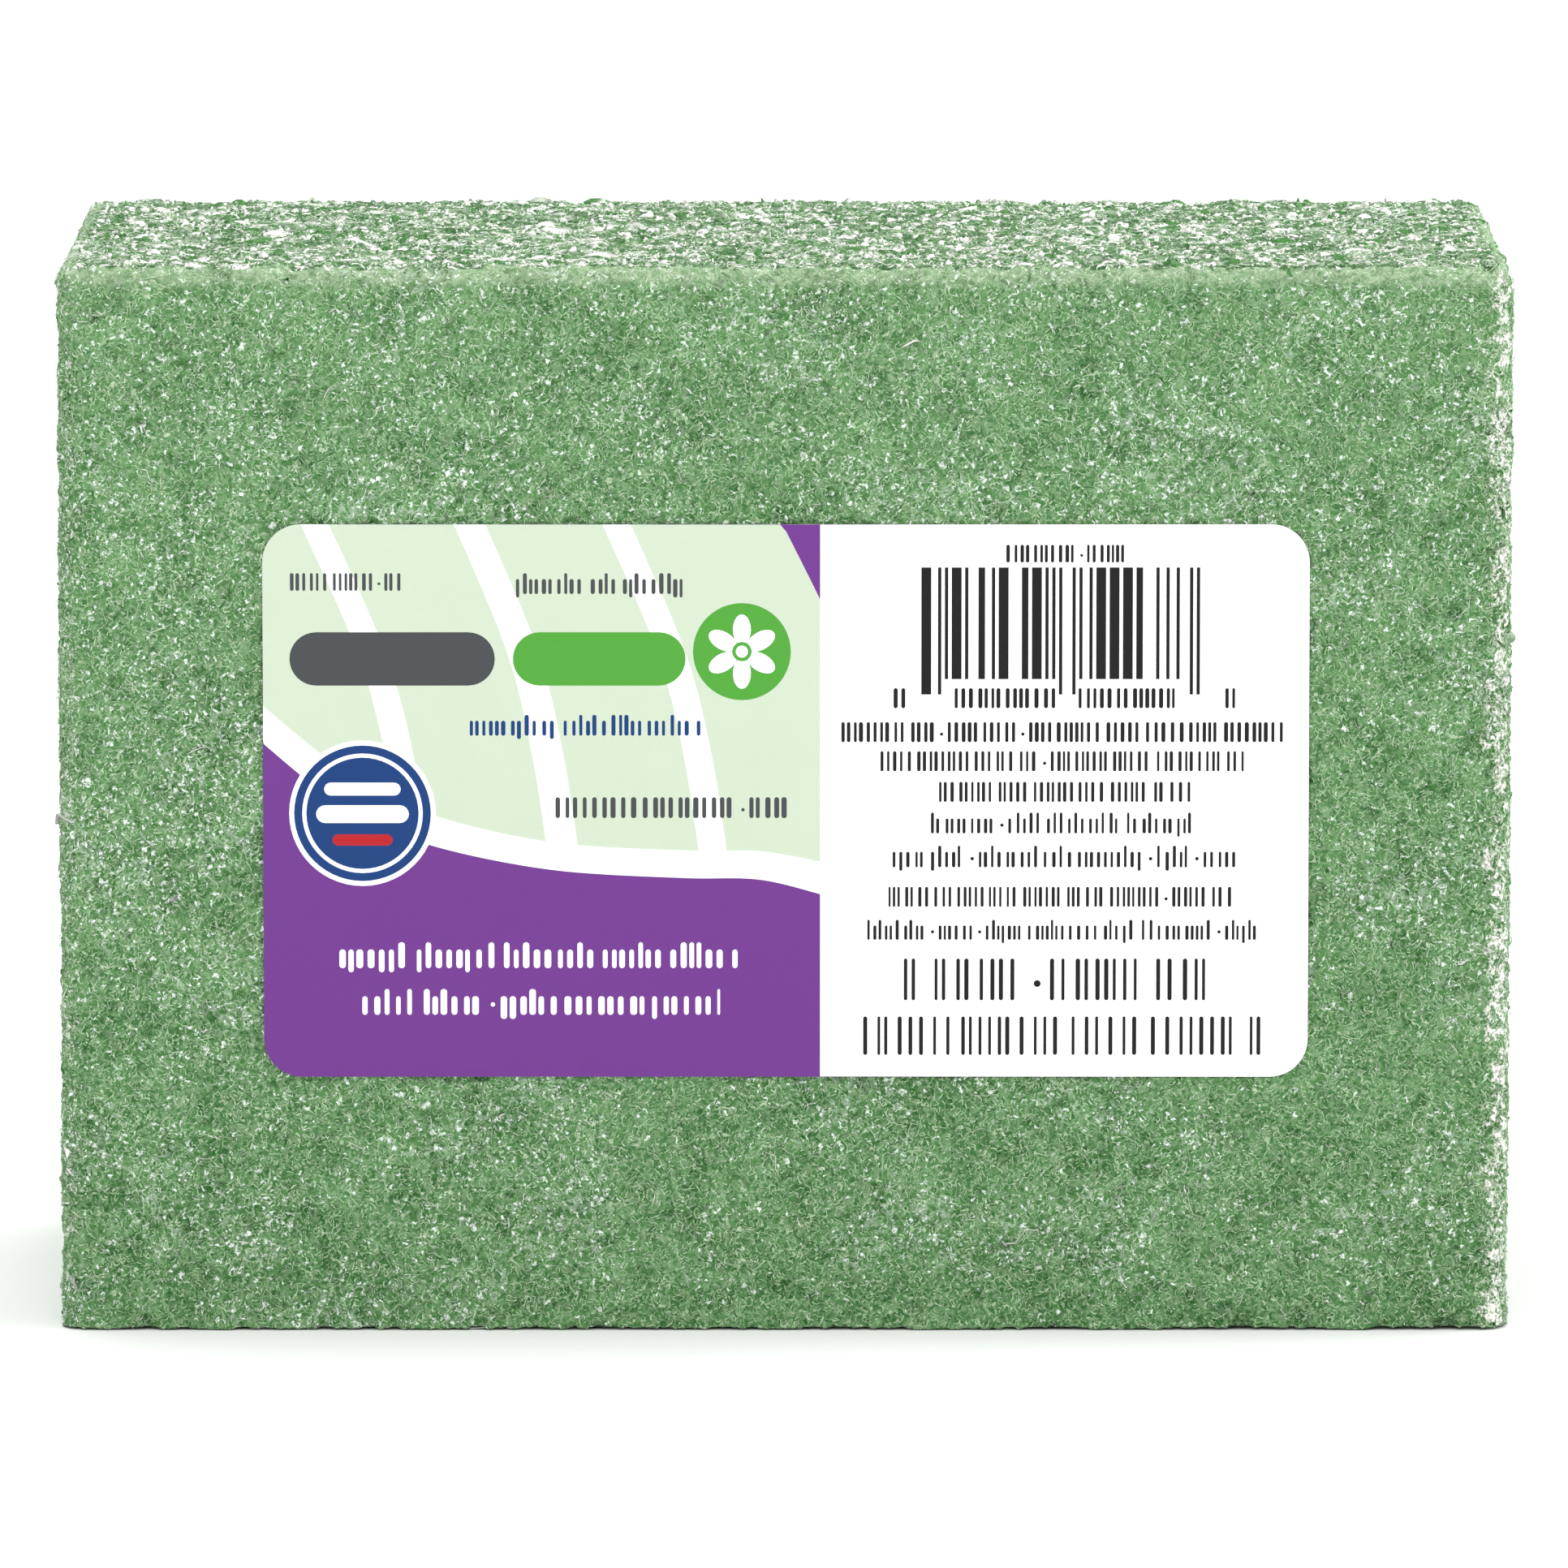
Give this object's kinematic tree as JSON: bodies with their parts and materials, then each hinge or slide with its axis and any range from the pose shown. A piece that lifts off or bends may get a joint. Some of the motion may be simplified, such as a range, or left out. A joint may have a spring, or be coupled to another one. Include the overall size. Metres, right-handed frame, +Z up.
{
  "type": "floral foam brick",
  "caption": "Rectangular block of dry green craft foam for pushing stems into, with a printed paper label stuck on its front face.",
  "frame": {"origin": "middle of the flat face the brick stands on", "axes": "+X along the length, to the right as the label is read; +Y from the label side towards the back; +Z up"},
  "size_m": [0.099, 0.0502, 0.073],
  "materials": {
    "foam": "cut open-cell foam, rough, with fine pale cell walls",
    "adhesive": "clear-set pressure-sensitive adhesive",
    "label_paper": "coated paper, printed in violet, green, blue and black"
  },
  "bodies": {
    "root": {"foam_brick": "foam", "label_adhesive": "adhesive", "label_face": "label_paper"}
  },
  "joints": []
}
